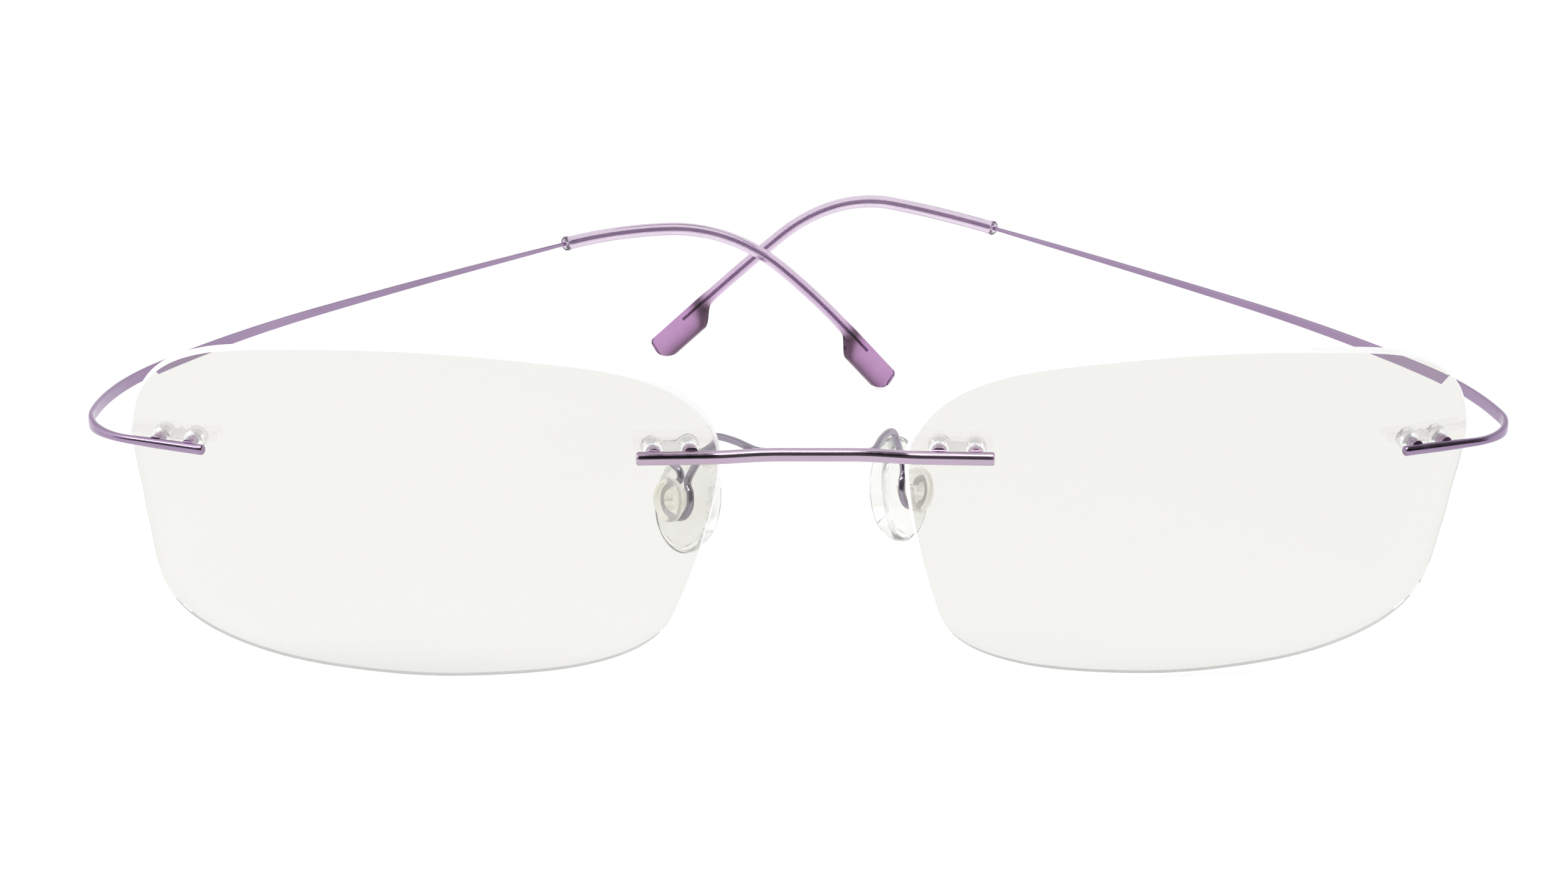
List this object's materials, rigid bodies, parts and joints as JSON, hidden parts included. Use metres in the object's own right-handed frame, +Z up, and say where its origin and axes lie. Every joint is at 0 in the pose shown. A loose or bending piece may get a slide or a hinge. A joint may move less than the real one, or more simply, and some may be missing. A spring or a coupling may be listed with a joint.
{
  "type": "rimless eyeglasses",
  "caption": "Rimless eyeglasses with clear drilled lenses, a round bridge bar, clear nose pads on wire hooks and one-piece spring-wire temples with translucent violet ear tips.",
  "frame": {"origin": "centre of the bounding box, at the level of the surface the eyeglasses lie on", "axes": "+X towards the wearer's left, +Y back towards the ears, +Z up; +X is the longest extent"},
  "size_m": [0.1335, 0.1152, 0.034],
  "materials": {
    "lens": "polished, clear",
    "plated_wire": "polished plating with a lilac tint",
    "clear_sleeve": "clear",
    "pad_button": "clear, a little yellowed",
    "nose_pad": "clear, soft",
    "ear_tip": "translucent violet"
  },
  "bodies": {
    "front": {"bridge_bar": "plated_wire", "right_lens": "lens", "left_lens": "lens", "right_bridge_studs": "plated_wire", "left_bridge_studs": "plated_wire", "right_temple_studs": "plated_wire", "left_temple_studs": "plated_wire", "right_nasal_sleeve": "clear_sleeve", "left_nasal_sleeve": "clear_sleeve", "right_outer_sleeve": "clear_sleeve", "left_outer_sleeve": "clear_sleeve", "right_pad_arm": "plated_wire", "left_pad_arm": "plated_wire", "right_endpiece": "plated_wire", "left_endpiece": "plated_wire"},
    "right_temple": {"right_temple": "plated_wire", "right_ear_tip": "ear_tip"},
    "left_temple": {"left_temple": "plated_wire", "left_ear_tip": "ear_tip"},
    "right_pad": {"right_pad_button": "pad_button", "right_nose_pad": "nose_pad"},
    "left_pad": {"left_pad_button": "pad_button", "left_nose_pad": "nose_pad"}
  },
  "joints": [
    {"name": "right_temple_flex", "type": "hinge", "parent": "front", "child": "right_temple", "pos_m": [-0.06622, -0.04164, 0.02363], "axis": [0, -0.0332, 0.9995], "range_deg": [-5, 38], "stiffness_Nm_per_rad": 0.14},
    {"name": "left_temple_flex", "type": "hinge", "parent": "front", "child": "left_temple", "pos_m": [0.06674, -0.04219, 0.02381], "axis": [0, -0.0541, 0.9985], "range_deg": [-38, 5], "stiffness_Nm_per_rad": 0.14},
    {"name": "right_pad_swivel", "type": "hinge", "parent": "front", "child": "right_pad", "pos_m": [-0.0121, -0.04441, 0.01649], "axis": [0.7969, 0.5868, -0.1436], "range_deg": [-15, 15]},
    {"name": "left_pad_swivel", "type": "hinge", "parent": "front", "child": "left_pad", "pos_m": [0.0103, -0.04465, 0.01751], "axis": [-0.7969, 0.5868, -0.1436], "range_deg": [-15, 15]}
  ],
  "couplings": [
    {"joint": "left_temple_flex", "follows": "right_temple_flex", "ratio": -1}
  ]
}
